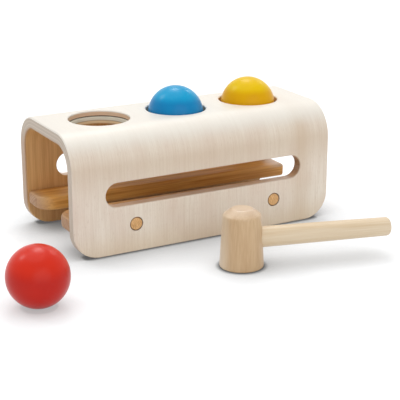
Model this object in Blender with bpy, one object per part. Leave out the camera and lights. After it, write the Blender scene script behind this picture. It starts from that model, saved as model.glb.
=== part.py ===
"""Ball pounding bench: a bent-wood bench with three gripped holes, three balls and a mallet.

Metres, +Z up, +X along the bench. Places are given from the middle of the bench's base, and
the whole set is then moved so that the origin is the middle of its base on the floor.
"""
import math

import bmesh
import bpy
from mathutils import Matrix, Vector

# Clearance that touching pieces keep, and the overrun of every cut
GAP = 0.0003
OVERRUN = 0.004

# Bench shell: one sheet bent into an upturned U, open at both ends
LENGTH = 0.254
WIDTH = 0.1174
HEIGHT = 0.1058
WALL = 0.0106
TOP_FLAT = 0.0574
FOOT_RADIUS = 0.0235
SHELL_ROUNDING = 0.0011

# Holes in the top: the wood left past and between them, and the rebate below for a grip ring
HOLE_NAMES = ("left", "middle", "right")
HOLE_END_MARGIN = 0.01375
HOLE_LAND = 0.0213
HOLE_LIP = 0.0053
RING_SEAT = 0.0042

# Slots through the walls: their height and the wood left past each end
SLOT_HEIGHT = 0.0214
SLOT_END_MARGIN = 0.030

# Balls: two stand in their grip rings and one lies beside the bench
BALL_CLEARANCE = 0.0021
BALL_SINK = 0.0047
RED_BALL_PLACE = (-0.188, -0.1316)

# Grip rings of rubber
RING_HEIGHT = 0.006
RING_LIP = 0.0011
RING_ROUNDING = 0.0005

# Rails: two boards that the balls land on, falling a little so that they roll out to the right
RAIL_THICKNESS = 0.012
RAIL_MIDDLE_Z = 0.0262
RAIL_FALL = 0.003
RAIL_CATCH = 0.0085
RAIL_LEFT_INSET = 0.001
RAIL_RIGHT_PROUD = 0.0012
RAIL_LEFT_CORNER = 0.016
RAIL_RIGHT_CORNER = 0.003
RAIL_ROUNDING = 0.0028

# Rail fastenings: a screw through the wall under a wooden plug
FASTENING_END_MARGIN = 0.058
FASTENING_Z = 0.0248
PLUG_RADIUS = 0.0060
PLUG_LENGTH = 0.0036
PLUG_RECESS = 0.0003
PLUG_CHAMFER = 0.0006
SCREW_HEAD_RADIUS = 0.0040
SCREW_HEAD_LENGTH = 0.0024
SCREW_SHANK_RADIUS = 0.0019
SCREW_GRIP = 0.016
SCREW_POINT = 0.003

# Mallet: a turned head that stands on its wide striking face, and a round handle
MALLET_PLACE = (-0.0078, -0.1315)
MALLET_TURN = math.radians(-15.2)
HEAD_HEIGHT = 0.0503
HEAD_FACE_RADIUS = 0.0186
HEAD_SHOULDER_RADIUS = 0.0162
HEAD_SHOULDER_HEIGHT = 0.0435
HEAD_TOP_RADIUS = 0.0108
HEAD_FACE_ROUNDING = 0.0014
HEAD_SHOULDER_ROUNDING = 0.0030
HANDLE_Z = 0.0240
HANDLE_REACH = 0.1300
HANDLE_ROOT_RADIUS = 0.0088
HANDLE_END_RADIUS = 0.0080
HANDLE_END_ROUNDING = 0.0028
SOCKET_WALL = 0.0070

# Facet counts of round work
BALL_STEPS = 32
BEND_STEPS = 10
HOLE_STEPS = 48
SLOT_STEPS = 12
CORNER_STEPS = 8
TURNED_STEPS = 40
SMALL_STEPS = 20
ROUNDING_STEPS = 3
EDGE_STEPS = 2

# Sizes and places that follow from those above
INNER_Y = WIDTH / 2 - WALL
BEND_RADIUS = (WIDTH - TOP_FLAT) / 2
BEND_Z = HEIGHT - BEND_RADIUS
HOLE_PITCH = (LENGTH - 2 * HOLE_END_MARGIN) / len(HOLE_NAMES)
HOLE_RADIUS = (HOLE_PITCH - HOLE_LAND) / 2
REBATE_RADIUS = HOLE_RADIUS + RING_SEAT
REBATE_TOP_Z = HEIGHT - HOLE_LIP
SLOT_REACH = LENGTH / 2 - SLOT_END_MARGIN
SLOT_MIDDLE_Z = HEIGHT / 2
BALL_RADIUS = HOLE_RADIUS - BALL_CLEARANCE
BALL_Z = HEIGHT - BALL_SINK
RAIL_INNER_Y = BALL_RADIUS - RAIL_CATCH
RAIL_WALL_Y = INNER_Y - GAP
RAIL_TILT = math.atan(RAIL_FALL / LENGTH)
FASTENING_X = LENGTH / 2 - FASTENING_END_MARGIN


def arc(centre, radius, start, end, steps):
    """Points of an arc in a plane, from one angle in degrees to another, both ends included."""
    points = []
    for i in range(steps + 1):
        angle = math.radians(start + (end - start) * i / steps)
        points.append((centre[0] + radius * math.cos(angle), centre[1] + radius * math.sin(angle)))
    return points


def material(name, colour, roughness):
    """A Principled material of one colour."""
    made = bpy.data.materials.new(name)
    made.use_nodes = True
    shader = made.node_tree.nodes["Principled BSDF"]
    shader.inputs["Base Color"].default_value = (*colour, 1.0)
    shader.inputs["Roughness"].default_value = roughness
    shader.inputs["Metallic"].default_value = 0.0
    return made


def metal(name, colour, roughness):
    """A Principled material of a bare metal."""
    made = material(name, colour, roughness)
    made.node_tree.nodes["Principled BSDF"].inputs["Metallic"].default_value = 1.0
    return made


def new_object(name, bm, finish, parent, place=(0.0, 0.0, 0.0)):
    """An object made of a bmesh, with its faces pointing out and smooth shading."""
    bmesh.ops.recalc_face_normals(bm, faces=bm.faces)
    mesh = bpy.data.meshes.new(name)
    bm.to_mesh(mesh)
    bm.free()
    mesh.shade_smooth()
    mesh.set_sharp_from_angle(angle=math.radians(30))
    mesh.materials.append(finish)
    made = bpy.data.objects.new(name, mesh)
    bpy.context.collection.objects.link(made)
    made.parent = parent
    made.location = place
    return made


def prism(outline, low, high, plane):
    """A bmesh of an outline in one plane ("xy", "xz" or "yz"), from low to high across it."""
    across = ({"x", "y", "z"} - set(plane)).pop()
    bm = bmesh.new()
    verts = []
    for u, v in outline:
        point = {plane[0]: u, plane[1]: v, across: low}
        verts.append(bm.verts.new((point["x"], point["y"], point["z"])))
    face = bm.faces.new(verts)
    swept = bmesh.ops.extrude_face_region(bm, geom=[face])["geom"]
    step = Vector([high - low if axis == across else 0.0 for axis in "xyz"])
    bmesh.ops.translate(bm, verts=[v for v in swept if isinstance(v, bmesh.types.BMVert)], vec=step)
    return bm


def loft(rows):
    """A bmesh through rows of points, each a closed outline, with its two ends filled."""
    bm = bmesh.new()
    rings = [[bm.verts.new(point) for point in row] for row in rows]
    for low, high in zip(rings, rings[1:]):
        for i in range(len(low)):
            j = (i + 1) % len(low)
            bm.faces.new((low[i], low[j], high[j], high[i]))
    bm.faces.new(rings[0])
    bm.faces.new(rings[-1])
    return bm


def turned(profile, steps, ring=False):
    """A bmesh turned about Z from (radius, height) points, a ring where the profile closes."""
    bm = bmesh.new()
    rows = []
    for radius, height in profile:
        if radius == 0:
            rows.append([bm.verts.new((0.0, 0.0, height))] * steps)
            continue
        angles = [2 * math.pi * i / steps for i in range(steps)]
        circle = [(radius * math.cos(a), radius * math.sin(a), height) for a in angles]
        rows.append([bm.verts.new(point) for point in circle])
    pairs = list(zip(rows, rows[1:]))
    if ring:
        pairs.append((rows[-1], rows[0]))
    for low, high in pairs:
        for i in range(steps):
            j = (i + 1) % steps
            corners = list(dict.fromkeys((low[i], low[j], high[j], high[i])))
            bm.faces.new(corners)
    return bm


def along_y(bm, direction):
    """Lay a piece turned about Z along the Y axis, its top towards direction (1 or -1)."""
    quarter = Matrix.Rotation(-direction * math.pi / 2, 3, "X")
    bmesh.ops.rotate(bm, verts=bm.verts, cent=(0, 0, 0), matrix=quarter)
    return bm


def cutter(name, bm, parent, place=(0.0, 0.0, 0.0)):
    """A helper solid that only cuts."""
    bmesh.ops.recalc_face_normals(bm, faces=bm.faces)
    mesh = bpy.data.meshes.new(name)
    bm.to_mesh(mesh)
    bm.free()
    made = bpy.data.objects.new(name, mesh)
    bpy.context.collection.objects.link(made)
    made.parent = parent
    made.location = place
    made.hide_render = True
    made.display_type = "WIRE"
    return made


def cut(target, tool):
    """Take a cutter's shape out of an object."""
    boolean = target.modifiers.new(tool.name, "BOOLEAN")
    boolean.operation = "DIFFERENCE"
    boolean.solver = "EXACT"
    boolean.object = tool


def soften(target, width, steps):
    """Round an object's edges."""
    bevel = target.modifiers.new("rounding", "BEVEL")
    bevel.limit_method = "ANGLE"
    bevel.angle_limit = math.radians(35)
    bevel.width = width
    bevel.segments = steps


def shell_outline():
    """The bent sheet's end view: up the front wall, over the top and down the back wall."""
    side = WIDTH / 2
    bend_y = TOP_FLAT / 2
    inner = BEND_RADIUS - WALL
    outside = arc((-bend_y, BEND_Z), BEND_RADIUS, 180, 90, BEND_STEPS)
    outside += arc((bend_y, BEND_Z), BEND_RADIUS, 90, 0, BEND_STEPS)
    inside = arc((bend_y, BEND_Z), inner, 0, 90, BEND_STEPS)
    inside += arc((-bend_y, BEND_Z), inner, 90, 180, BEND_STEPS)
    return [(-side, 0.0)] + outside + [(side, 0.0), (INNER_Y, 0.0)] + inside + [(-INNER_Y, 0.0)]


def foot_corner(end):
    """What is cut off a lower corner of both walls, at the left (-1) or right (1) end."""
    tip = LENGTH / 2
    bend = tip - FOOT_RADIUS
    curve = arc((bend, FOOT_RADIUS), FOOT_RADIUS, -90, 0, CORNER_STEPS)
    outside = [(tip + OVERRUN, FOOT_RADIUS), (tip + OVERRUN, -OVERRUN), (bend, -OVERRUN)]
    outline = [(end * x, z) for x, z in curve + outside]
    return prism(outline, -WIDTH / 2 - OVERRUN, WIDTH / 2 + OVERRUN, "xz")


def mouth(edge, face):
    """A cutter's section where it opens through a face: rounded, and run on a little past the face."""
    bend = (edge + SHELL_ROUNDING, face - SHELL_ROUNDING)
    points = arc(bend, SHELL_ROUNDING, 180, 90, EDGE_STEPS)
    (near, low), (far, high) = points[-2:]
    return points[:-1] + [(2 * far - near, 2 * high - low)]


def slot_outline(radius):
    """A slot's round-ended outline, in the plane of its wall."""
    centre = SLOT_REACH - SLOT_HEIGHT / 2
    outline = arc((centre, SLOT_MIDDLE_Z), radius, -90, 90, SLOT_STEPS)
    return outline + arc((-centre, SLOT_MIDDLE_Z), radius, 90, 270, SLOT_STEPS)


def slot(side):
    """A slot through the front (-1) or back (1) wall, rounded at both faces."""
    outside = mouth(SLOT_HEIGHT / 2, WIDTH / 2)
    inside = [(radius, -y) for radius, y in reversed(mouth(SLOT_HEIGHT / 2, -INNER_Y))]
    rows = [[(x, side * y, z) for x, z in slot_outline(radius)] for radius, y in inside + outside]
    return loft(rows)


def hole():
    """A hole through the top, rounded at its rim, with the rebate for its grip ring below."""
    profile = [(0, BEND_Z), (REBATE_RADIUS, BEND_Z), (REBATE_RADIUS, REBATE_TOP_Z)]
    profile += [(HOLE_RADIUS, REBATE_TOP_Z)] + mouth(HOLE_RADIUS, HEIGHT)
    return turned(profile + [(0, profile[-1][1])], HOLE_STEPS)


def hole_places():
    """Each hole's name and its place along the bench."""
    return [(name, (i - 1) * HOLE_PITCH) for i, name in enumerate(HOLE_NAMES)]


def fastening_places():
    """Each rail fastening's name, its place along the bench and its side, front (-1) or back (1)."""
    places = []
    for side_name, side in (("front", -1), ("back", 1)):
        for end_name, end in (("left", -1), ("right", 1)):
            places.append((f"{side_name}_{end_name}", end * FASTENING_X, side))
    return places


def cylinder(radius, low, high, steps):
    """A plain cylinder about Z."""
    return turned([(0, low), (radius, low), (radius, high), (0, high)], steps)


def make_shell(wood, parent):
    """The bent sheet with its slots and holes, and the sockets for the rings and fastenings."""
    sheet = prism(shell_outline(), -LENGTH / 2, LENGTH / 2, "yz")
    shell = new_object("bench_shell", sheet, wood, parent)
    for name, end in (("left", -1), ("right", 1)):
        cut(shell, cutter(f"foot_cut_{name}", foot_corner(end), parent))
    soften(shell, SHELL_ROUNDING, EDGE_STEPS)
    cut(shell, cutter("slot_cut_front", slot(-1), parent))
    cut(shell, cutter("slot_cut_back", slot(1), parent))
    for name, x in hole_places():
        cut(shell, cutter(f"hole_cut_{name}", hole(), parent, (x, 0.0, 0.0)))
    for name, x, side in fastening_places():
        place = (x, side * WIDTH / 2, FASTENING_Z)
        cut(shell, cutter(f"socket_cut_{name}", along_y(fastening_socket(), side), parent, place))


def fastening_depths():
    """How deep the plug's back, the screw head's top, its underside and its seat lie in the wall."""
    plug_back = PLUG_RECESS + PLUG_LENGTH
    head_top = plug_back + GAP
    head_under = head_top + SCREW_HEAD_LENGTH
    return plug_back, head_top, head_under, head_under + GAP


def fastening_socket():
    """A stepped bore for a plug, a screw head and its shank, with its mouth up and at height 0."""
    seat = fastening_depths()[3]
    wide = PLUG_RADIUS + GAP
    narrow = SCREW_SHANK_RADIUS + GAP
    profile = [(0, -WALL - OVERRUN), (narrow, -WALL - OVERRUN), (narrow, -seat)]
    profile += [(wide, -seat), (wide, OVERRUN), (0, OVERRUN)]
    return turned(profile, SMALL_STEPS)


def make_plug(name, x, side, wood, parent):
    """A wooden plug over a screw, a hair below the wall's face."""
    back = PLUG_RECESS + PLUG_LENGTH
    rim = PLUG_RADIUS - PLUG_CHAMFER
    profile = [(0, -back), (PLUG_RADIUS, -back), (PLUG_RADIUS, -PLUG_RECESS - PLUG_CHAMFER)]
    profile += [(rim, -PLUG_RECESS), (0, -PLUG_RECESS)]
    bm = along_y(turned(profile, SMALL_STEPS), side)
    return new_object(f"plug_{name}", bm, wood, parent, (x, side * WIDTH / 2, FASTENING_Z))


def make_screw(name, x, side, steel, parent):
    """A wood screw with a flat head, from the wall into the rail."""
    _, head_top, head_under, _ = fastening_depths()
    tip = WALL + GAP + SCREW_GRIP
    shank_end = tip - SCREW_POINT
    profile = [(0, -tip), (SCREW_SHANK_RADIUS, -shank_end), (SCREW_SHANK_RADIUS, -head_under)]
    profile += [(SCREW_HEAD_RADIUS, -head_under), (SCREW_HEAD_RADIUS, -head_top), (0, -head_top)]
    bm = along_y(turned(profile, SMALL_STEPS), side)
    return new_object(f"screw_{name}", bm, steel, parent, (x, side * WIDTH / 2, FASTENING_Z))


def rail_outline(side):
    """A rail seen from above, with its two inner corners rounded."""
    left = -LENGTH / 2 + RAIL_LEFT_INSET
    right = LENGTH / 2 + RAIL_RIGHT_PROUD
    near_left = (left + RAIL_LEFT_CORNER, RAIL_INNER_Y + RAIL_LEFT_CORNER)
    near_right = (right - RAIL_RIGHT_CORNER, RAIL_INNER_Y + RAIL_RIGHT_CORNER)
    outline = [(right, RAIL_WALL_Y), (left, RAIL_WALL_Y)]
    outline += arc(near_left, RAIL_LEFT_CORNER, 180, 270, CORNER_STEPS)
    outline += arc(near_right, RAIL_RIGHT_CORNER, -90, 0, CORNER_STEPS // 2)
    return [(x, side * y) for x, y in outline]


def make_rail(side_name, side, wood, parent):
    """A sloping board along one wall, with pilot holes for its two screws."""
    board = prism(rail_outline(side), -RAIL_THICKNESS / 2, RAIL_THICKNESS / 2, "xy")
    rail = new_object(f"rail_{side_name}", board, wood, parent, (0.0, 0.0, RAIL_MIDDLE_Z))
    rail.rotation_euler = (0.0, RAIL_TILT, 0.0)
    soften(rail, RAIL_ROUNDING, ROUNDING_STEPS)
    depth = SCREW_GRIP + GAP
    for name, x, screw_side in fastening_places():
        if screw_side == side:
            pilot = cylinder(SCREW_SHANK_RADIUS + GAP, -depth, OVERRUN, SMALL_STEPS)
            place = (x, side * RAIL_WALL_Y, FASTENING_Z)
            cut(rail, cutter(f"pilot_cut_{name}", along_y(pilot, side), parent, place))
    return rail


def ring_profile():
    """A grip ring's section, its inner face a funnel that follows the seated ball."""
    top = REBATE_TOP_Z - GAP
    base = top - RING_HEIGHT
    lip_top = base + RING_LIP
    outer = REBATE_RADIUS - GAP
    reach = BALL_RADIUS + GAP
    lip = math.sqrt(reach ** 2 - (BALL_Z - lip_top) ** 2)
    mouth = math.sqrt(reach ** 2 - (BALL_Z - top) ** 2)
    profile = [(outer, base), (outer, top), (mouth + RING_ROUNDING, top), (mouth, top - RING_ROUNDING)]
    return profile + [(lip, lip_top), (lip, base + RING_ROUNDING), (lip + RING_ROUNDING, base)]


def make_ring(name, x, rubber, parent):
    """The rubber ring that grips a ball in its hole."""
    bm = turned(ring_profile(), HOLE_STEPS, ring=True)
    return new_object(f"grip_ring_{name}", bm, rubber, parent, (x, 0.0, 0.0))


def make_ball(name, place, paint, parent):
    """A turned ball, its origin at its centre."""
    bm = bmesh.new()
    bmesh.ops.create_uvsphere(bm, u_segments=BALL_STEPS, v_segments=BALL_STEPS // 2, radius=BALL_RADIUS)
    return new_object(name, bm, paint, parent, place)


def head_profile():
    """The mallet head's half section, from the middle of its striking face to its top."""
    face = HEAD_FACE_RADIUS
    soft = HEAD_FACE_ROUNDING
    profile = [(0, 0.0)] + arc((face - soft, soft), soft, -90, 0, ROUNDING_STEPS)
    bend = (HEAD_SHOULDER_RADIUS - HEAD_SHOULDER_ROUNDING, HEAD_SHOULDER_HEIGHT)
    profile += arc(bend, HEAD_SHOULDER_ROUNDING, 0, 50, ROUNDING_STEPS)
    crown = HEAD_SHOULDER_ROUNDING
    profile += arc((HEAD_TOP_RADIUS - crown, HEAD_HEIGHT - crown), crown, 50, 90, ROUNDING_STEPS)
    return profile + [(0, HEAD_HEIGHT)]


def handle_profile(root, tip):
    """The handle's half section from its root in the socket to its rounded free end."""
    soft = HANDLE_END_ROUNDING
    profile = [(0, root), (HANDLE_ROOT_RADIUS, root), (HANDLE_ROOT_RADIUS, HEAD_FACE_RADIUS)]
    profile += arc((HANDLE_END_RADIUS - soft, tip - soft), soft, 0, 90, ROUNDING_STEPS)
    return profile + [(0, tip)]


def lay_along_x(bm):
    """Lay a piece turned about Z along +X."""
    quarter = Matrix.Rotation(math.pi / 2, 3, "Y")
    bmesh.ops.rotate(bm, verts=bm.verts, cent=(0, 0, 0), matrix=quarter)
    return bm


def make_mallet(wood, parent):
    """The head with its blind socket, and the handle that is glued in it."""
    mallet = bpy.data.objects.new("mallet", None)
    bpy.context.collection.objects.link(mallet)
    mallet.parent = parent
    mallet.location = (*MALLET_PLACE, 0.0)
    mallet.rotation_euler = (0.0, 0.0, MALLET_TURN)
    head = new_object("mallet_head", turned(head_profile(), TURNED_STEPS), wood, mallet)
    socket_end = -HEAD_SHOULDER_RADIUS + SOCKET_WALL
    reach = HEAD_FACE_RADIUS + OVERRUN
    socket = lay_along_x(cylinder(HANDLE_ROOT_RADIUS + GAP, socket_end, reach, SMALL_STEPS))
    cut(head, cutter("handle_socket_cut", socket, mallet, (0.0, 0.0, HANDLE_Z)))
    handle = lay_along_x(turned(handle_profile(socket_end + GAP, HANDLE_REACH), SMALL_STEPS))
    new_object("mallet_handle", handle, wood, mallet, (0.0, 0.0, HANDLE_Z))


def centre_on_floor(root):
    """Move the set so that the origin is the middle of its base."""
    bpy.context.view_layer.update()
    solids = [ob for ob in bpy.context.scene.objects if ob.type == "MESH" and not ob.hide_render]
    corners = [ob.matrix_world @ vertex.co for ob in solids for vertex in ob.data.vertices]
    for axis in (0, 1):
        values = [corner[axis] for corner in corners]
        root.location[axis] -= (min(values) + max(values)) / 2


def main():
    for ob in list(bpy.data.objects):
        bpy.data.objects.remove(ob, do_unlink=True)
    root = bpy.data.objects.new("pounding_set", None)
    bpy.context.collection.objects.link(root)

    pale_wood = material("pale bent wood", (0.78, 0.70, 0.58), 0.55)
    board_wood = material("golden board wood", (0.52, 0.30, 0.13), 0.5)
    plug_wood = material("plug wood", (0.74, 0.46, 0.22), 0.5)
    mallet_wood = material("mallet wood", (0.70, 0.52, 0.32), 0.5)
    rubber = material("grey rubber", (0.43, 0.41, 0.34), 0.7)
    steel = metal("screw steel", (0.55, 0.55, 0.56), 0.35)
    paints = {
        "red": material("red paint", (0.68, 0.035, 0.02), 0.4),
        "blue": material("blue paint", (0.01, 0.22, 0.52), 0.4),
        "yellow": material("yellow paint", (0.75, 0.48, 0.01), 0.4),
    }

    make_shell(pale_wood, root)
    for side_name, side in (("front", -1), ("back", 1)):
        make_rail(side_name, side, board_wood, root)
    for name, x, side in fastening_places():
        make_plug(name, x, side, plug_wood, root)
        make_screw(name, x, side, steel, root)
    for name, x in hole_places():
        make_ring(name, x, rubber, root)
    make_ball("ball_blue", (0.0, 0.0, BALL_Z), paints["blue"], root)
    make_ball("ball_yellow", (HOLE_PITCH, 0.0, BALL_Z), paints["yellow"], root)
    make_ball("ball_red", (*RED_BALL_PLACE, BALL_RADIUS), paints["red"], root)
    make_mallet(mallet_wood, root)
    centre_on_floor(root)


main()
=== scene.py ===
"""Looks of the ball pounding bench: its woods, paints and rubber, the studio and the camera."""
import math

import bpy
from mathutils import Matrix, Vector


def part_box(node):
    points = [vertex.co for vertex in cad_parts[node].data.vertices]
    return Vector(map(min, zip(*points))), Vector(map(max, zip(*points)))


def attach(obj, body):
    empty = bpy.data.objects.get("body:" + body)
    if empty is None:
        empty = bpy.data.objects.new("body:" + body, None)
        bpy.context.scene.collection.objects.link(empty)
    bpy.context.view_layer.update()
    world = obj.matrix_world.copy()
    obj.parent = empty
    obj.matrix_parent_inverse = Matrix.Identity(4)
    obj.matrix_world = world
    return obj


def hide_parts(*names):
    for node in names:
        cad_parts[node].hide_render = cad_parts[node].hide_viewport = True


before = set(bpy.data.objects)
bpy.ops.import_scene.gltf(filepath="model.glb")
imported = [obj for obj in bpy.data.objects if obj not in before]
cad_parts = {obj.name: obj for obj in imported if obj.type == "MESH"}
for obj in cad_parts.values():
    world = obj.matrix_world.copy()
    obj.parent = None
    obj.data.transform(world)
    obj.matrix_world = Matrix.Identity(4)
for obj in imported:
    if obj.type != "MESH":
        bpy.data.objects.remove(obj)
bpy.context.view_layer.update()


# Camera
# A long lens stands to the left of the bench's front, a little above it, and looks down on it
# without any tilt to the side. It was placed by the bench's own edges, holes and balls.
CAMERA_PLACE = Vector((-0.453731, -0.889362, 0.3688))
CAMERA_AIM = Vector((0.05051, 0.026168, 0.02593))
CAMERA_LENS = 109.72
CAMERA_NEAR = 0.05

camera_data = bpy.data.cameras.new("camera")
camera_data.lens = CAMERA_LENS
camera_data.clip_start = CAMERA_NEAR
camera = bpy.data.objects.new("camera", camera_data)
bpy.context.collection.objects.link(camera)
camera.location = CAMERA_PLACE
camera.rotation_euler = (CAMERA_AIM - CAMERA_PLACE).to_track_quat("-Z", "Y").to_euler()
bpy.context.scene.camera = camera


# Bench shell
# Thin sheets of wood glued and pressed into an upturned U, bleached outside, golden inside and
# lacquered. The sawn ends show the sheets, and the slots and holes are painted warmer for the
# light that the golden inside throws on them.
class Shade:
    """Something that varies over a surface. Arithmetic on it adds Math nodes to its tree."""

    def __init__(self, tree, socket):
        self.tree = tree
        self.socket = socket

    def maths(self, operation, *others):
        values = dict(enumerate((self, *others)))
        return self.tree.node("ShaderNodeMath", values, operation=operation)

    def __add__(self, other):
        return self.maths("ADD", other)

    def __sub__(self, other):
        return self.maths("SUBTRACT", other)

    def __rsub__(self, other):
        return self * -1 + other

    def __mul__(self, other):
        return self.maths("MULTIPLY", other)

    def __truediv__(self, other):
        return self.maths("DIVIDE", other)

    def __pow__(self, other):
        return self.maths("POWER", other)

    def __abs__(self):
        return self.maths("ABSOLUTE")

    def at_least(self, other):
        return self.maths("MAXIMUM", other)

    def at_most(self, other):
        return self.maths("MINIMUM", other)

    def ease(self, start, end):
        """0 up to start, 1 from end on, and a soft step between them."""
        sockets = {"Value": self, "From Min": start, "From Max": end}
        return self.tree.node("ShaderNodeMapRange", sockets, interpolation_type="SMOOTHSTEP")

    def within(self, near, far):
        """1 up to near, 0 from far on, and a soft step between them."""
        return 1 - self.ease(near, far)

    def between(self, low, high):
        """0 becomes low and 1 becomes high."""
        return self * (high - low) + low

    def blend(self, other, share):
        """This and another added up, with the given share of the whole for the other."""
        return self * (1 - share) + other * share

    __radd__ = __add__
    __rmul__ = __mul__


class Tree:
    """The nodes of a finish, of the world or of a modifier."""

    def __init__(self, held):
        self.nodes = held.nodes
        self.links = held.links

    def node(self, kind, sockets, output=0, **settings):
        """Add a node: first its settings, then a value or a link for each socket named."""
        made = self.nodes.new(kind)
        for setting, value in settings.items():
            setattr(made, setting, value)
        self.feed(made, sockets)
        return Shade(self, made.outputs[output]) if made.outputs else None

    def feed(self, node, sockets):
        for name, value in sockets.items():
            if isinstance(value, Shade):
                self.links.new(value.socket, node.inputs[name])
            else:
                node.inputs[name].default_value = value


class Finish(Tree):
    """A material on one Principled shader."""

    # Where a Mix node has its factor, its two colours and the mixed colour. It has more than one
    # socket of each name.
    FACTOR, UNDER, OVER, MIXED = 0, 6, 7, 2

    def __init__(self, name, **sockets):
        self.material = bpy.data.materials.new(name)
        self.material.use_nodes = True
        super().__init__(self.material.node_tree)
        self.shader = self.nodes["Principled BSDF"]
        self.set(**sockets)

    def set(self, **sockets):
        """Set or link the shader's own sockets, their names written with underscores."""
        named = {name.replace("_", " "): value for name, value in sockets.items()}
        self.feed(self.shader, named)

    def place(self):
        """Where a point of the piece lies at rest, as x, y and z in metres."""
        spot = self.node("ShaderNodeTexCoord", {}, output="Object")
        return [self.node("ShaderNodeSeparateXYZ", {0: spot}, output=i) for i in range(3)]

    def mix(self, mask, under, over, most=1.0):
        """The colour under where mask is 0. The colour over covers it by most where mask is 1."""
        sockets = {self.FACTOR: mask * most, self.UNDER: under, self.OVER: over}
        return self.node("ShaderNodeMix", sockets, output=self.MIXED, data_type="RGBA")

    def spots(self, place, sizes, detail=2.0, warp=0.0):
        """Noise between 0 and 1 whose spots have the given sizes in metres."""
        scaled = {i: along / size for i, (along, size) in enumerate(zip(place, sizes))}
        spot = self.node("ShaderNodeCombineXYZ", scaled)
        sockets = {"Vector": spot, "Scale": 1.0, "Detail": detail, "Distortion": warp}
        return self.node("ShaderNodeTexNoise", sockets)

    def relief(self, height, depth):
        """Small bumps: height between 0 and 1, over a depth in metres."""
        self.set(Normal=self.node("ShaderNodeBump", {"Height": height, "Distance": depth}))


def colour(red, green, blue):
    """A colour given as on a screen, from 0 to 255, in the linear values that a shader takes."""
    linear = []
    for part in (red, green, blue):
        share = part / 255
        linear.append(share / 12.92 if share <= 0.04045 else ((share + 0.055) / 1.055) ** 2.4)
    return (*linear, 1.0)


# The CAD nodes come as loose flat faces. The skin joins them again and rounds the shading over
# every edge that isn't sharper than this.
SHARPEST_BEND = math.radians(50)
SAME_POINT = 0.000001

skin = bpy.data.node_groups.new("smooth_skin", "GeometryNodeTree")
for way in ("INPUT", "OUTPUT"):
    skin.interface.new_socket("Geometry", in_out=way, socket_type="NodeSocketGeometry")
skin_tree = Tree(skin)
loose = skin_tree.node("NodeGroupInput", {})
same = {"Geometry": loose, "Distance": SAME_POINT}
joined = skin_tree.node("GeometryNodeMergeByDistance", same)
angle = skin_tree.node("GeometryNodeInputMeshEdgeAngle", {})
sharp = angle.maths("GREATER_THAN", SHARPEST_BEND)
rounded = {"Mesh": joined, "Remove Custom": True, "Edge Sharpness": sharp, "Face Sharpness": False}
skin_tree.node("NodeGroupOutput", {0: skin_tree.node("GeometryNodeSetMeshNormal", rounded)})


def put_on(finish, *nodes):
    """Give CAD nodes a finish in place of their plain one, and the smooth skin."""
    for name in nodes:
        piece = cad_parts[name]
        for slot in piece.material_slots:
            slot.material = finish.material
        piece.modifiers.new("skin", "NODES").node_group = skin
        piece.modifiers.new("flats", "WEIGHTED_NORMAL").keep_sharp = True


def middle_of(node):
    """The middle of a CAD node's box, and half of its size."""
    low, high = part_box(node)
    return (low + high) / 2, (high - low) / 2


# The sheet's sizes, as the CAD model has them.
SHEET = 0.0106
PLIES = 7
TOP_FLAT = 0.0574
VENEER = 0.0012
GLUE = 0.0004
HOLE_LIP = 0.0053
SLOT_REACH = 0.097

shell_middle, shell_half = middle_of("bench_shell")
shell_top = shell_middle.z + shell_half.z
bend = shell_half.y - TOP_FLAT / 2
bend_start = shell_top - bend

bent_wood = Finish("bent_wood", Coat_Weight=0.6, Coat_Roughness=0.4)
x, y, z = bent_wood.place()

# How deep a point lies under the outer face, and how far round the U from its middle.
side = y - shell_middle.y
past_top = (abs(side) - TOP_FLAT / 2).at_least(0.0)
past_wall = (z - bend_start).at_least(0.0)
depth = bend - (past_top ** 2 + past_wall ** 2) ** 0.5
turned_by = past_top.maths("ARCTAN2", past_wall)
down = (bend_start - z).at_least(0.0)
along = (abs(side).at_most(TOP_FLAT / 2) + turned_by * bend + down) * side.maths("SIGN")

# The bleached sheet outside: fine fibres and bands that run round the U, warmer clouds, short
# brown pores, a browner waist under the bend that is painted shade, a rosy streak near the right
# end, a warmer, darker foot that is painted shade near the floor, and a paler top that is a
# painted sheen. Spots have a size along the bench, round the U and into the sheet. A colour that
# is laid over another has beside it how much it covers at most, from 0 to 1.
FIBRE = (0.0008, 0.03, 0.001)
BAND = (0.0026, 0.1, 0.02)
CLOUD = (0.035, 0.06, 0.02)
PORE = (0.0005, 0.005, 0.001)
BAND_SHARE = 0.4
FIGURE = (0.3, 0.7)
BLEACHED_DARK = colour(234, 219, 200)
BLEACHED_PALE = colour(248, 237, 221)
BLEACHED_WARM = (colour(228, 205, 186), 0.5)
BLEACHED_PORE = (colour(186, 156, 128), 0.25)
BLEACHED_WAIST_SHADE = (colour(208, 183, 153), 0.5)
BLEACHED_STREAK = (colour(208, 180, 146), 0.7)
BLEACHED_FOOT_SHADE = (colour(222, 194, 150), 0.35)
BLEACHED_TOP_SHEEN = (colour(246, 242, 232), 0.7)
WARM_CLOUD = (0.35, 0.7)
OPEN_PORE = (0.62, 0.72)
SHADED_WAIST = (0.045, bend_start + bend / 5)
UPPER_BEND = (bend_start, shell_top - SHEET)
TOP_SHEEN = (bend_start + bend * 2 / 5, shell_top - SHEET / 2)
STREAK_PLACE = 0.140
STREAK_REACH = 0.016
FOOT_SHADE = 0.026

fibre = bent_wood.spots((x, along, depth), FIBRE, detail=3.0)
band = bent_wood.spots((x, along, depth), BAND, warp=0.3)
cloud = bent_wood.spots((x, along, depth), CLOUD)
pore = bent_wood.spots((x, along, depth), PORE, detail=1.0)
figure = fibre.blend(band, BAND_SHARE).ease(*FIGURE)
waist_shade = z.ease(*SHADED_WAIST) * z.within(*UPPER_BEND)
streak = abs(x - STREAK_PLACE).within(0.0, STREAK_REACH) * band

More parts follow.
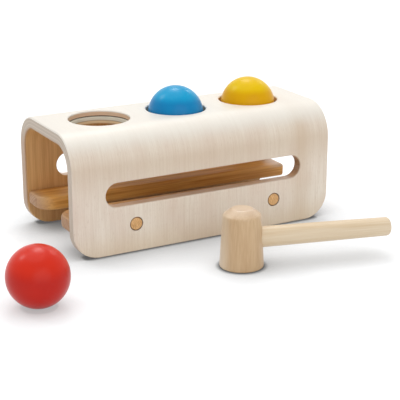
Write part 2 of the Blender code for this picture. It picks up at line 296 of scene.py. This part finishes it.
bleached = bent_wood.mix(figure, BLEACHED_DARK, BLEACHED_PALE)
bleached = bent_wood.mix(cloud.ease(*WARM_CLOUD), bleached, *BLEACHED_WARM)
bleached = bent_wood.mix(pore.ease(*OPEN_PORE), bleached, *BLEACHED_PORE)
# Painted shade under the bend and near the floor, and a painted sheen on the top.
bleached = bent_wood.mix(waist_shade, bleached, *BLEACHED_WAIST_SHADE)
bleached = bent_wood.mix(streak, bleached, *BLEACHED_STREAK)
bleached = bent_wood.mix(z.within(0.0, FOOT_SHADE), bleached, *BLEACHED_FOOT_SHADE)
bleached = bent_wood.mix(z.ease(*TOP_SHEEN), bleached, *BLEACHED_TOP_SHEEN)

# The golden sheet inside, a little browner at its sanded ends.
GOLDEN_DARK = colour(204, 156, 98)
GOLDEN_PALE = colour(226, 184, 124)
GOLDEN_END = colour(176, 134, 92)
SANDED_END = (0.0005, 0.0015)

from_end = shell_half.x - abs(x - shell_middle.x)
golden = bent_wood.mix(figure, GOLDEN_DARK, GOLDEN_PALE)
golden = bent_wood.mix(from_end.ease(*SANDED_END), GOLDEN_END, golden)

# The sawn ends: every second sheet lies across the first, with dark glue between them. The end
# of the back wall is browner.
SAWDUST = (0.0006, 0.0006, 0.0006)
SAWN_ALONG = colour(200, 182, 160)
SAWN_ACROSS = colour(188, 168, 144)
SAWN_DUST = (colour(170, 148, 124), 0.3)
SAWN_GLUE = (colour(146, 122, 98), 0.45)
SAWN_BACK_END = (colour(172, 130, 90), 0.8)
GLUE_LINE = (0.38, 0.5)
PLY_EDGE = (0.47, 0.53)
DUSTY = (0.4, 0.7)

ply = depth / (SHEET / PLIES)
glue_line = abs(ply.maths("FRACT") - 1 / 2).ease(*GLUE_LINE)
cross_ply = (ply / 2).maths("FRACT").ease(*PLY_EDGE)
dust = bent_wood.spots((x, y, z), SAWDUST).ease(*DUSTY)
back_wall_end = side.ease(0.0, TOP_FLAT / 2) * z.within(*UPPER_BEND)
sawn = bent_wood.mix(cross_ply, SAWN_ALONG, SAWN_ACROSS)
sawn = bent_wood.mix(dust, sawn, *SAWN_DUST)
sawn = bent_wood.mix(glue_line, sawn, *SAWN_GLUE)
sawn = bent_wood.mix(back_wall_end, sawn, *SAWN_BACK_END)

# The routed slots and holes: darker at the slots' ends, which is painted shade, and with a dark
# seam above each ring, which is a glue line together with painted shade of the gap.
ROUTED_WOOD = colour(222, 188, 156)
ROUTED_GLUE = (colour(188, 146, 106), 0.3)
ROUTED_SEAM_SHADE = colour(96, 76, 58)
ROUTED_END_SHADE = (colour(168, 128, 92), 0.7)
SEAM = (0.0004, 0.0008)
END_SHADE_REACH = 0.006
ROUTED_FROM = (0.002, 0.004)

seam = abs(z - (shell_top - HOLE_LIP)).within(*SEAM)
from_slot_end = SLOT_REACH - abs(x - shell_middle.x)
slot_end_shade = from_slot_end.within(0.0, END_SHADE_REACH) * z.within(bend_start, shell_top)
# The routed faces are the same sheets as the sawn ends, painted warmer and lighter for the light
# that the golden inside throws on them.
routed = bent_wood.mix(glue_line, ROUTED_WOOD, *ROUTED_GLUE)
# Painted shade of the gap over each ring, and painted shade at the slots' ends.
routed = bent_wood.mix(seam, routed, ROUTED_SEAM_SHADE)
routed = bent_wood.mix(slot_end_shade, routed, *ROUTED_END_SHADE)
edge = bent_wood.mix(from_end.ease(*ROUTED_FROM), sawn, routed)

# The three together, under a satin lacquer that lets the fibres be felt.
BENT_ROUGHNESS = (0.38, 0.53)
GRAIN_DEPTH = 0.00005

outer_sheet = depth.within(VENEER, VENEER + GLUE)
inner_sheet = depth.ease(SHEET - VENEER - GLUE, SHEET - VENEER)
wood = bent_wood.mix(outer_sheet, edge, bleached)
wood = bent_wood.mix(inner_sheet, wood, golden)
bent_wood.set(Base_Color=wood, Roughness=fibre.between(*BENT_ROUGHNESS))
bent_wood.relief(fibre, GRAIN_DEPTH)
put_on(bent_wood, "bench_shell")


# Rails
# Two planed boards of golden hardwood with rounded edges, screwed along the inside of the walls.
# They catch a ball that is driven through, and slope a little so that it rolls out at the right.
RAIL_FIBRE = (0.05, 0.0009, 0.0009)
RAIL_BAND = (0.13, 0.006, 0.006)
RAIL_BAND_SHARE = 0.55
RAIL_FIGURE = (0.32, 0.68)
RAIL_DARK = colour(200, 132, 48)
RAIL_PALE = colour(240, 186, 102)
RAIL_NOSE_HIGHLIGHT = (colour(184, 150, 122), 0.7)
RAIL_END_HIGHLIGHT = (colour(214, 194, 178), 0.7)
RAIL_RING = colour(158, 106, 58)
RAIL_ROUGHNESS = (0.4, 0.55)
RAIL_GRAIN_DEPTH = 0.00006
NOSE_HIGHLIGHT_REACH = 0.014
HIGHLIGHT_END = (0.004, 0.022)
HIGHLIGHT_TOP = (0.001, 0.0035)
YEAR_RING = (0.0011, 1.0, 1.0)
RING_EDGE = (0.4, 0.6)
RING_COVER = (0.3, 0.8)
END_SKIN = (0.0004, 0.0010)
TREE_HEART = 0.02


def end_grain(finish, place, from_end):
    """How much the year rings cover a sawn end. Place begins with the distance from the tree's
    heart, along which the rings follow each other."""
    rings = finish.spots(place, YEAR_RING).ease(*RING_EDGE)
    return from_end.within(*END_SKIN) * rings.between(*RING_COVER)


board_wood = Finish("board_wood", Coat_Weight=0.05, Coat_Roughness=0.3)
x, y, z = board_wood.place()
rail_middle, rail_half = middle_of("rail_front")
fibre = board_wood.spots((x, y, z), RAIL_FIBRE, detail=3.0)
band = board_wood.spots((x, y, z), RAIL_BAND, warp=0.6)
# A painted highlight on the rounded nose at the rails' left end.
nose_highlight = (x - (rail_middle.x - rail_half.x)).within(0.0, NOSE_HIGHLIGHT_REACH)
# A painted highlight on the top of the rails' right end, where light comes in at the open end.
end_highlight_and_warm_lip = (rail_middle.x + rail_half.x - x).within(*HIGHLIGHT_END) * (z - rail_middle.z).ease(*HIGHLIGHT_TOP)
from_end = rail_half.x - abs(x - rail_middle.x)
radius = ((y - shell_middle.y) ** 2 + (z + TREE_HEART) ** 2) ** 0.5
figure = fibre.blend(band, RAIL_BAND_SHARE).ease(*RAIL_FIGURE)
wood = board_wood.mix(figure, RAIL_DARK, RAIL_PALE)
wood = board_wood.mix(nose_highlight, wood, *RAIL_NOSE_HIGHLIGHT)
wood = board_wood.mix(end_highlight_and_warm_lip, wood, *RAIL_END_HIGHLIGHT)
wood = board_wood.mix(end_grain(board_wood, (radius, x, x), from_end), wood, RAIL_RING)
board_wood.set(Base_Color=wood, Roughness=fibre.between(*RAIL_ROUGHNESS))
board_wood.relief(fibre, RAIL_GRAIN_DEPTH)
put_on(board_wood, "rail_front", "rail_back")


# Screws
# Wood screws of zinc-plated steel, turned in from outside through the walls. They hold the
# rails, and their heads lie sunk and hidden under the plugs.
ZINC_GREY = colour(176, 178, 184)
ZINC_PALE = colour(206, 206, 208)
ZINC_GRAIN = (0.001, 0.001, 0.001)
ZINC_ROUGHNESS = (0.28, 0.48)
FASTENINGS = [f"{wall}_{end}" for wall in ("front", "back") for end in ("left", "right")]

plated_steel = Finish("plated_steel", Metallic=1.0)
dulling = plated_steel.spots(plated_steel.place(), ZINC_GRAIN)
zinc = plated_steel.mix(dulling, ZINC_GREY, ZINC_PALE)
plated_steel.set(Base_Color=zinc, Roughness=dulling.between(*ZINC_ROUGHNESS))
put_on(plated_steel, *[f"screw_{place}" for place in FASTENINGS])


# Plugs
# Round plugs of the same golden wood, cut across the grain and glued in over the screws. Their
# darker rim is a glue line together with painted shade of the gap round each plug.
PLUG_DARK = colour(206, 152, 90)
PLUG_PALE = colour(244, 198, 138)
PLUG_RIM_GLUE_AND_SHADE = colour(132, 88, 46)
PLUG_FIBRE = (0.0008, 0.02, 0.005)
PLUG_SLANT = 0.5
RIM_RADIUS = (0.0049, 0.0057)

plug_wood = Finish("plug_wood", Roughness=0.45, Coat_Weight=0.1, Coat_Roughness=0.3)
x, y, z = plug_wood.place()
left_plug = middle_of("plug_front_left")[0]
right_plug = middle_of("plug_front_right")[0]
sideways = abs(x - left_plug.x).at_most(abs(x - right_plug.x))
from_middle = (sideways ** 2 + (z - left_plug.z) ** 2) ** 0.5
slanted = (x + z * PLUG_SLANT, y, z - x * PLUG_SLANT)
fibre = plug_wood.spots(slanted, PLUG_FIBRE, detail=3.0)
wood = plug_wood.mix(fibre.ease(*FIGURE), PLUG_DARK, PLUG_PALE)
wood = plug_wood.mix(from_middle.ease(*RIM_RADIUS), wood, PLUG_RIM_GLUE_AND_SHADE)
plug_wood.set(Base_Color=wood)
plug_wood.relief(fibre, GRAIN_DEPTH)
put_on(plug_wood, *[f"plug_{place}" for place in FASTENINGS])


# Grip rings
# Soft grey rubber rings with a slightly grainy skin, moulded and pressed in under the holes.
# They grip a ball until it is struck, and their lower lip is warmer in colour.
RUBBER_DARK = colour(212, 206, 188)
RUBBER_PALE = colour(228, 222, 204)
RUBBER_WARM_LIP = (colour(226, 192, 144), 0.8)
RUBBER_LINE = (colour(150, 112, 74), 0.6)
BLOOM = (0.012, 0.012, 0.012)
SKIN_GRAIN = (0.0004, 0.0004, 0.0004)
SKIN_SHARE = 0.3
SKIN_DEPTH = 0.00004
LIP = 0.0030
WARM_LIP = (0.0026, LIP)
LIP_LINE = (0.0002, 0.0006)

rubber = Finish("rubber", Roughness=0.6, Specular_IOR_Level=0.3)
x, y, z = rubber.place()
ring_middle, ring_half = middle_of("grip_ring_left")
skin_grain = rubber.spots((x, y, z), SKIN_GRAIN)
bloom = rubber.spots((x, y, z), BLOOM)
from_base = z - (ring_middle.z - ring_half.z)
end_highlight_and_warm_lip = from_base.within(*WARM_LIP)
lip_line = abs(from_base - LIP).within(*LIP_LINE)
grey = rubber.mix(bloom.blend(skin_grain, SKIN_SHARE), RUBBER_DARK, RUBBER_PALE)
grey = rubber.mix(end_highlight_and_warm_lip, grey, *RUBBER_WARM_LIP)
rubber.set(Base_Color=rubber.mix(lip_line, grey, *RUBBER_LINE))
rubber.relief(skin_grain, SKIN_DEPTH)
put_on(rubber, "grip_ring_left", "grip_ring_middle", "grip_ring_right")


# Balls
# Hardwood balls, turned and sanded round, then sprayed with a satin paint in one colour each.
# Their colour deepens towards their undersides, which is painted shade and reflection, and the
# grain under the paint still shows faintly.
BALL_SIDES = 96
BALL_ROWS = 64
PAINT_CLOUD = (0.02, 0.02, 0.02)
CLOUD_EDGE = (0.2, 0.8)
CLOUD_SHARE = 0.2
ORANGE_PEEL = (0.0016, 0.0016, 0.0016)
GRAIN_UNDER = (0.0012, 0.0012, 0.03)
GRAIN_SHARE = 0.4
PAINT_ROUGHNESS = (0.26, 0.32)
PAINT_DEPTH = 0.000015


def turned(name, outline):
    """A smooth closed piece turned about the z axis. The outline gives (radius, height) points
    from the bottom to the top, both ends on the axis."""
    points = [(0.0, 0.0, outline[0][1])]
    for radius, height in outline[1:-1]:
        for k in range(BALL_SIDES):
            turn = math.tau * k / BALL_SIDES
            points.append((radius * math.cos(turn), radius * math.sin(turn), height))
    points.append((0.0, 0.0, outline[-1][1]))
    faces = []
    last = len(points) - 1
    for k in range(BALL_SIDES):
        after = (k + 1) % BALL_SIDES
        faces.append((0, 1 + after, 1 + k))
        for row in range(len(outline) - 3):
            low = 1 + row * BALL_SIDES
            faces.append((low + k, low + after, low + BALL_SIDES + after, low + BALL_SIDES + k))
        top = 1 + (len(outline) - 3) * BALL_SIDES
        faces.append((top + k, top + after, last))
    mesh = bpy.data.meshes.new(name)
    mesh.from_pydata(points, [], faces)
    mesh.shade_smooth()
    made = bpy.data.objects.new(name, mesh)
    bpy.context.collection.objects.link(made)
    return made


def painted_ball(colour_name, plain_colour, deep_shade_colour, shade_heights, gloss):
    """Stands for the CAD ball, which has coarser faces. Its paint has the deep colour, painted
    shade and reflection, up to the lower of the two shade heights over its middle, and the plain
    colour from the upper one."""
    node = f"ball_{colour_name}"
    ball_middle, ball_half = middle_of(node)
    size = ball_half.z
    rise = [math.pi * row / BALL_ROWS for row in range(BALL_ROWS + 1)]
    outline = [(size * math.sin(turn), -size * math.cos(turn)) for turn in rise]
    ball = turned(f"painted_ball_{colour_name}", outline)
    ball.location = ball_middle
    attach(ball, f"{colour_name}_ball")
    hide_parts(node)

    paint = Finish(f"{colour_name}_paint", Specular_IOR_Level=gloss)
    place = paint.place()
    height = place[-1]
    cloud = paint.spots(place, PAINT_CLOUD).ease(*CLOUD_EDGE)
    plain_share = height.ease(*shade_heights).blend(cloud, CLOUD_SHARE)
    peel = paint.spots(place, ORANGE_PEEL, detail=1.0)
    grain = paint.spots(place, GRAIN_UNDER)
    paint.set(
        Base_Color=paint.mix(plain_share, deep_shade_colour, plain_colour), Roughness=peel.between(*PAINT_ROUGHNESS)
    )
    paint.relief(peel.blend(grain, GRAIN_SHARE), PAINT_DEPTH)
    ball.data.materials.append(paint.material)


# Heights over a ball's middle where its painted shade and reflection below give way to its plain
# colour, and each ball's plain colour and its deep colour for that shade and for the clouds.
SEATED_SHADE_HEIGHTS = (0.0115, 0.0185)
LOOSE_SHADE_HEIGHTS = (0.002, 0.014)
BLUE_PLAIN, BLUE_DEEP_SHADE = colour(0, 168, 218), colour(0, 128, 190)
YELLOW_PLAIN, YELLOW_DEEP_SHADE = colour(246, 206, 0), colour(230, 168, 0)
RED_PLAIN, RED_DEEP_SHADE = colour(224, 44, 14), colour(198, 28, 12)

painted_ball("blue", BLUE_PLAIN, BLUE_DEEP_SHADE, SEATED_SHADE_HEIGHTS, gloss=0.22)
painted_ball("yellow", YELLOW_PLAIN, YELLOW_DEEP_SHADE, SEATED_SHADE_HEIGHTS, gloss=0.14)
painted_ball("red", RED_PLAIN, RED_DEEP_SHADE, LOOSE_SHADE_HEIGHTS, gloss=0.24)


# Mallet
# A head and a handle turned from pale hardwood and glued together. The head's grain stands
# upright, its left side is paler with a painted sheen and its top with a painted highlight, and
# the handle's grain runs along it in paler bands.
HEAD_FIBRE = (0.0009, 0.0009, 0.025)
HEAD_BAND = (0.006, 0.006, 0.09)
HEAD_BAND_SHARE = 0.5
HEAD_FIGURE = (0.25, 0.75)
HEAD_DARK = colour(196, 157, 110)
HEAD_PALE = colour(216, 184, 140)
HEAD_CROWN_HIGHLIGHT = (colour(242, 222, 204), 0.3)
HEAD_LEFT_SHEEN = (colour(232, 214, 186), 0.6)
CROWN_HIGHLIGHT_REACH = 0.0075
SHEEN_SIDE = math.radians(151)
SHEEN_FROM = (0.008, 0.017)
MALLET_TURN = math.radians(-15.2)
HANDLE_REACH = 0.1300
HANDLE_FIBRE = (0.05, 0.0009, 0.0009)
HANDLE_BAND = (0.11, 0.005, 0.005)
HANDLE_BAND_SHARE = 0.6
HANDLE_DARK = colour(224, 197, 159)
HANDLE_PALE = colour(238, 219, 190)
HANDLE_END = colour(206, 172, 128)
MALLET_ROUGHNESS = (0.36, 0.51)

turned_wood = Finish("turned_wood", Coat_Weight=0.9, Coat_Roughness=0.4)
x, y, z = turned_wood.place()
head_middle, head_half = middle_of("mallet_head")
fibre = turned_wood.spots((x, y, z), HEAD_FIBRE, detail=3.0)
band = turned_wood.spots((x, y, z), HEAD_BAND, warp=0.5)
crown_highlight = (head_middle.z + head_half.z - z).within(0.0, CROWN_HIGHLIGHT_REACH)
to_left = (x - head_middle.x) * math.cos(SHEEN_SIDE)
to_left += (y - head_middle.y) * math.sin(SHEEN_SIDE)
figure = fibre.blend(band, HEAD_BAND_SHARE).ease(*HEAD_FIGURE)
wood = turned_wood.mix(figure, HEAD_DARK, HEAD_PALE)
# A painted sheen on the head's left side and a painted highlight on its top.
wood = turned_wood.mix(to_left.ease(*SHEEN_FROM), wood, *HEAD_LEFT_SHEEN)
wood = turned_wood.mix(crown_highlight, wood, *HEAD_CROWN_HIGHLIGHT)
turned_wood.set(Base_Color=wood, Roughness=fibre.between(*MALLET_ROUGHNESS))
turned_wood.relief(fibre, GRAIN_DEPTH)
put_on(turned_wood, "mallet_head")

handle_wood = Finish("handle_wood", Coat_Weight=0.12, Coat_Roughness=0.3)
x, y, z = handle_wood.place()
x = x - head_middle.x
y = y - head_middle.y
lengthwise = x * math.cos(MALLET_TURN) + y * math.sin(MALLET_TURN)
across = y * math.cos(MALLET_TURN) - x * math.sin(MALLET_TURN)
fibre = handle_wood.spots((lengthwise, across, z), HANDLE_FIBRE, detail=3.0)
band = handle_wood.spots((lengthwise, across, z), HANDLE_BAND, warp=0.5)
radius = (across ** 2 + z ** 2) ** 0.5
sawn_end = end_grain(handle_wood, (radius, lengthwise, z), HANDLE_REACH - lengthwise)
figure = fibre.blend(band, HANDLE_BAND_SHARE).ease(*FIGURE)
wood = handle_wood.mix(figure, HANDLE_DARK, HANDLE_PALE)
wood = handle_wood.mix(sawn_end, wood, HANDLE_END)
handle_wood.set(Base_Color=wood, Roughness=fibre.between(*MALLET_ROUGHNESS))
handle_wood.relief(fibre, GRAIN_DEPTH)
put_on(handle_wood, "mallet_handle")


# Studio
# A white floor that runs on out of sight and darkens where something stands on it, less so round
# the red ball, broad lamps far off above, behind and before the bench, and a white surround.
FLOOR_REACH = 6.0
FLOOR_DROP = 0.0002
FLOOR_WHITE = (0.82, 0.84, 0.86, 1.0)
FLOOR_LAMPLIGHT = 0.6
FLOOR_LIFT = 0.68
WIDE_SHADE = 0.06
CONTACT_LINE = 0.0045
CONTACT_DEPTH = 1.8
DARKEST = 0.86
BALL_REACH = (0.035, 0.1)
BALL_LIGHTER = 0.5
SHADE_SAMPLES = 12
SURROUND = 0.5
BLACK = (0.0, 0.0, 0.0, 1.0)
WHITE = (1.0, 1.0, 1.0, 1.0)


def seen_directly(tree):
    """1 where the eye, a mirror or a glass sees the surface itself, 0 for the light it sends."""
    rays = [
        tree.node("ShaderNodeLightPath", {}, output=f"Is {kind} Ray")
        for kind in ("Camera", "Glossy", "Transmission")
    ]
    return rays[0].at_least(rays[1]).at_least(rays[2])


floor_mesh = bpy.data.meshes.new("floor")
ends = ((-1, -1), (1, -1), (1, 1), (-1, 1))
corners = [(i * FLOOR_REACH, j * FLOOR_REACH, -FLOOR_DROP) for i, j in ends]
floor_mesh.from_pydata(corners, [], [(0, 1, 2, 3)])
floor = bpy.data.objects.new("floor", floor_mesh)
bpy.context.collection.objects.link(floor)

# Seen directly, the floor shows part of the lamps' light and an even glow, and both are darkened
# by the shade under what stands on it. To the light that it sends back it is plainly white.
white_floor = Finish("white_floor", Roughness=0.9, Specular_IOR_Level=0.0, Emission_Strength=1.0)
open_sky, gap = [
    white_floor.node(
        "ShaderNodeAmbientOcclusion", {"Distance": reach}, output="AO", samples=SHADE_SAMPLES
    )
    for reach in (WIDE_SHADE, CONTACT_LINE)
]
x, y, z = white_floor.place()
ball_foot = middle_of("ball_red")[0]
from_ball = ((x - ball_foot.x) ** 2 + (y - ball_foot.y) ** 2) ** 0.5
darkening = (1 - open_sky * gap ** CONTACT_DEPTH).at_most(DARKEST)
clear = 1 - darkening * (1 - from_ball.within(*BALL_REACH) * BALL_LIGHTER)
seen = seen_directly(white_floor)
shaded = 1 - seen * (1 - clear * FLOOR_LAMPLIGHT)
white_floor.set(
    Base_Color=white_floor.mix(shaded, BLACK, FLOOR_WHITE),
    Emission_Color=white_floor.mix(seen * clear * FLOOR_LIFT, BLACK, WHITE),
)
floor_mesh.materials.append(white_floor.material)

studio = bpy.data.worlds.new("studio")
studio.use_nodes = True
bpy.context.scene.world = studio
surround = Tree(studio.node_tree)
level = seen_directly(surround).between(SURROUND, 1.0)
surround.feed(surround.nodes["Background"], {"Color": WHITE, "Strength": level})


def lamp(name, towards, spread, strength):
    """A far, broad lamp that lights everything evenly from one side. It looks spread degrees
    wide."""
    data = bpy.data.lights.new(name, "SUN")
    data.angle = math.radians(spread)
    data.energy = strength
    made = bpy.data.objects.new(name, data)
    bpy.context.collection.objects.link(made)
    made.rotation_euler = Vector(towards).to_track_quat("Z", "Y").to_euler()


lamp("overhead_lamp", towards=(0.0, 0.18, 0.98), spread=56, strength=0.7)
lamp("key_lamp", towards=(0.26, 0.55, 0.79), spread=20, strength=0.54)
lamp("left_lamp", towards=(-0.43, 0.56, 0.71), spread=13, strength=0.32)
lamp("right_lamp", towards=(0.72, 0.45, 0.54), spread=10, strength=0.12)
lamp("front_lamp", towards=(-0.1, -1.0, 0.3), spread=60, strength=0.68)

bpy.context.scene.view_settings.view_transform = "Standard"
